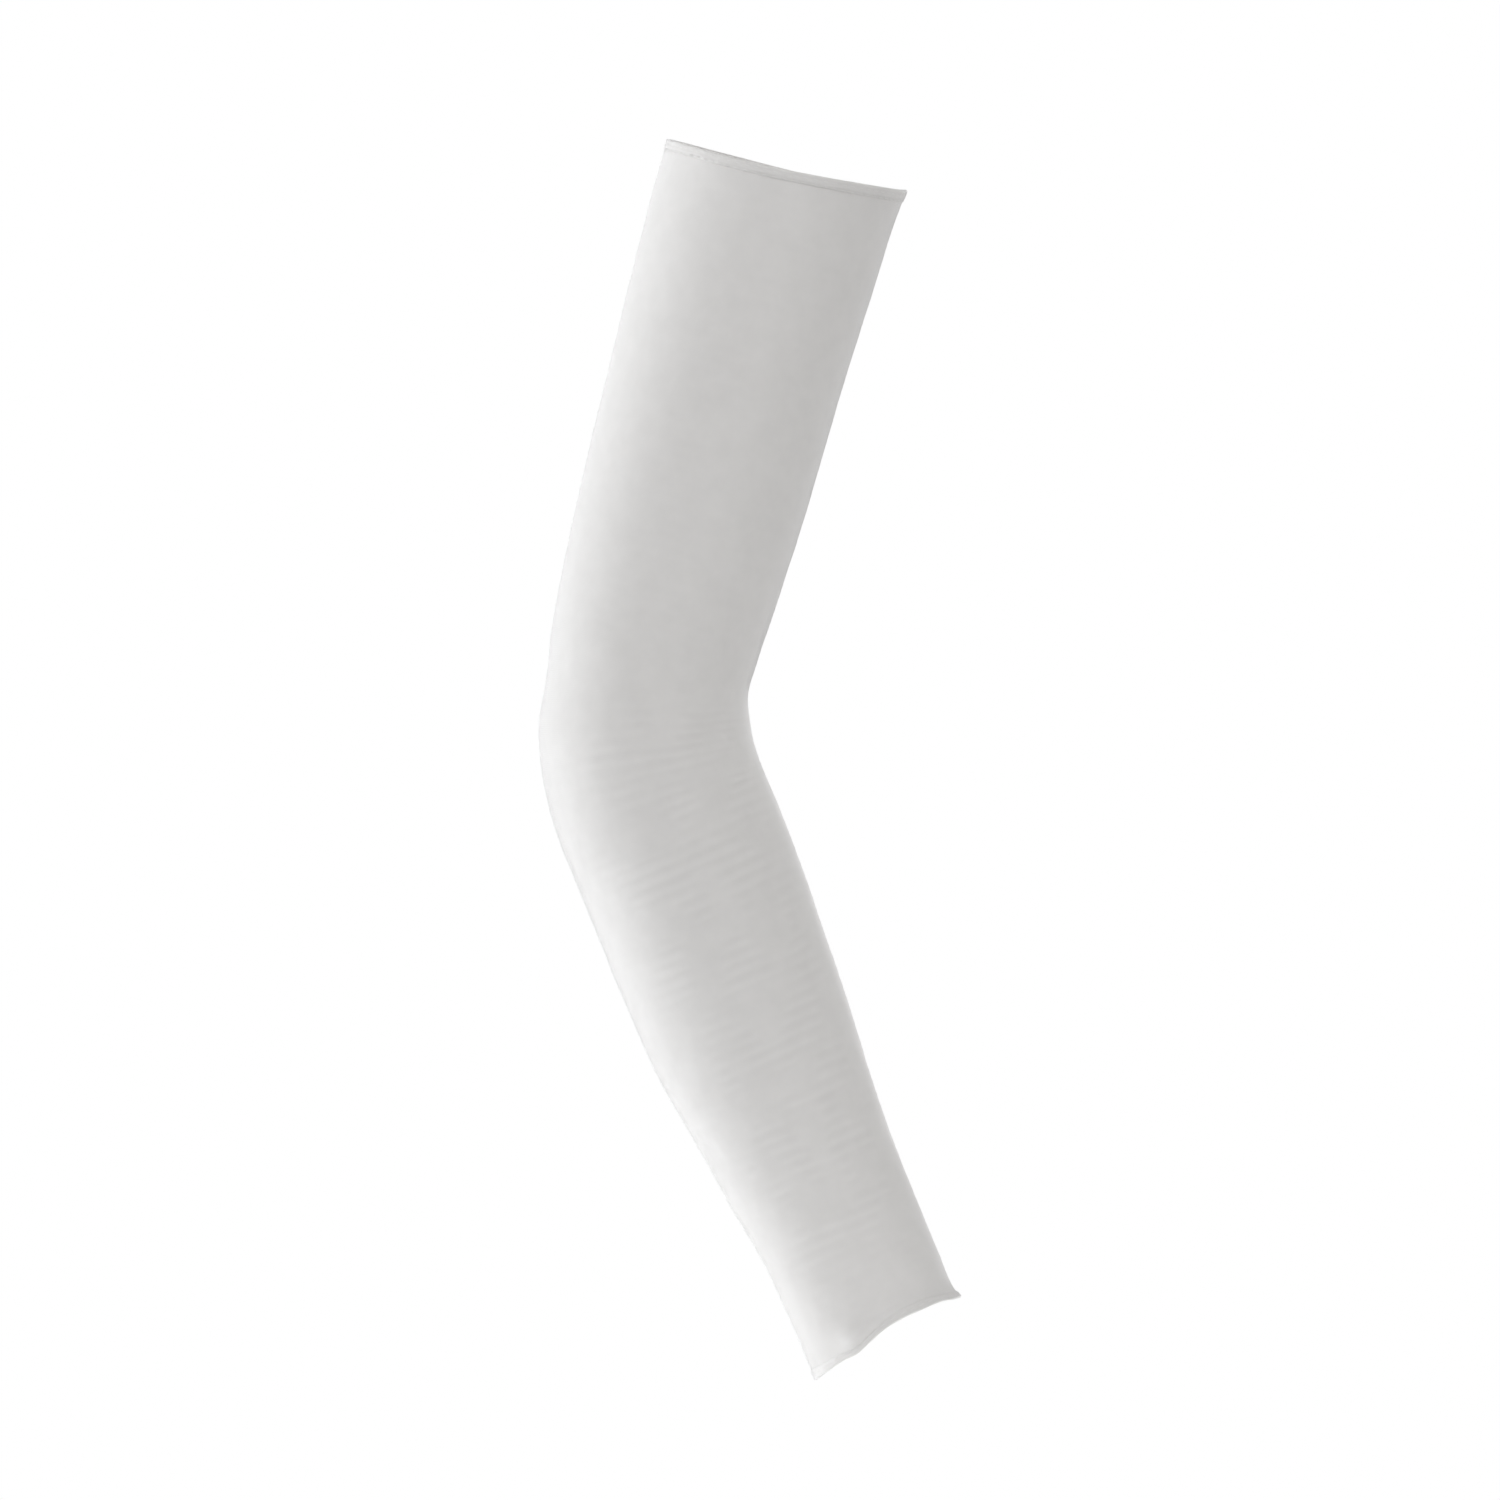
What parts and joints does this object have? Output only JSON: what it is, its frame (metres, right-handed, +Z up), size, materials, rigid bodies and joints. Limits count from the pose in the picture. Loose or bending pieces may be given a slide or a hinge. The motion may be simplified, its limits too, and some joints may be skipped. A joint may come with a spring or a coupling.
{
  "type": "arm compression sleeve",
  "caption": "Long elastic knitted sleeve for an arm, from the upper arm to the wrist, held bent at the elbow, with a turned welt at each open end.",
  "frame": {"origin": "middle of the elbow, on the centre line of the arm that the sleeve is worn on", "axes": "the arm bends in the XZ plane: +Z up towards the upper opening, +X towards the crook of the elbow, -Y the side that the front view shows"},
  "size_m": [0.1474, 0.0798, 0.4343],
  "materials": {
    "knit": "matt fine elastic knit, pale grey-white",
    "welt": "matt double layer of the same elastic knit"
  },
  "bodies": {
    "root": {"sleeve_body": "knit", "upper_welt": "welt", "wrist_welt": "welt"}
  },
  "joints": []
}
